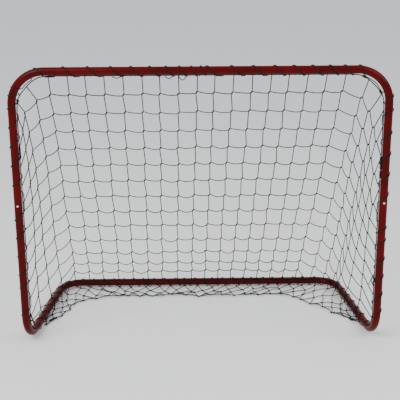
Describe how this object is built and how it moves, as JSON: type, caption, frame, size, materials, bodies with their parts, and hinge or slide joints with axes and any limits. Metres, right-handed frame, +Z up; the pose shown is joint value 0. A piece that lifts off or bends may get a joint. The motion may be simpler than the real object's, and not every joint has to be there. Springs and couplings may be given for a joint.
{
  "type": "street hockey goal",
  "caption": "Small knock-down hockey goal: round steel tube frame with swaged joints and snap buttons, laced twine net with sloping back.",
  "frame": {"origin": "on the floor, in the middle of the footprint's box", "axes": "+X across the mouth to the right as seen by a shooter, +Y from the mouth to the back bar, +Z up"},
  "size_m": [1.1612, 0.5112, 0.9056],
  "materials": {
    "red_tube": "gloss powder coat",
    "button_steel": "plain zinc-plated",
    "net_rope": "twisted synthetic rope",
    "net_twine": "knotted synthetic twine",
    "lacing_cord": "braided synthetic cord"
  },
  "bodies": {
    "frame": {"top_corner_left": "red_tube", "top_corner_right": "red_tube", "upright_left": "red_tube", "upright_right": "red_tube", "foot_left": "red_tube", "foot_right": "red_tube", "base_side_left": "red_tube", "base_side_right": "red_tube", "back_corner_left": "red_tube", "back_corner_right": "red_tube", "leaf_spring_left": "button_steel", "leaf_spring_right": "button_steel", "border_rope_front": "net_rope", "border_rope_base": "net_rope", "net_back": "net_twine", "net_side_left": "net_twine", "net_side_right": "net_twine", "net_skirt_back": "net_twine", "net_skirt_left": "net_twine", "net_skirt_right": "net_twine", "lacing_top_left": "lacing_cord", "lacing_top_right": "lacing_cord", "lacing_side_left": "lacing_cord", "lacing_side_right": "lacing_cord", "lacing_back_left": "lacing_cord", "lacing_back_right": "lacing_cord"},
    "button_left": {"snap_button_left": "button_steel"},
    "button_right": {"snap_button_right": "button_steel"}
  },
  "joints": [
    {"name": "button_left_press", "type": "slide", "parent": "frame", "child": "button_left", "axis": [0, 1, 0], "range_m": [0, 0.0043], "stiffness_N_per_m": 2000, "springref_m": -0.002, "deforming": ["leaf_spring_left"]},
    {"name": "button_right_press", "type": "slide", "parent": "frame", "child": "button_right", "axis": [0, 1, 0], "range_m": [0, 0.0043], "stiffness_N_per_m": 2000, "springref_m": -0.002, "deforming": ["leaf_spring_right"]}
  ]
}
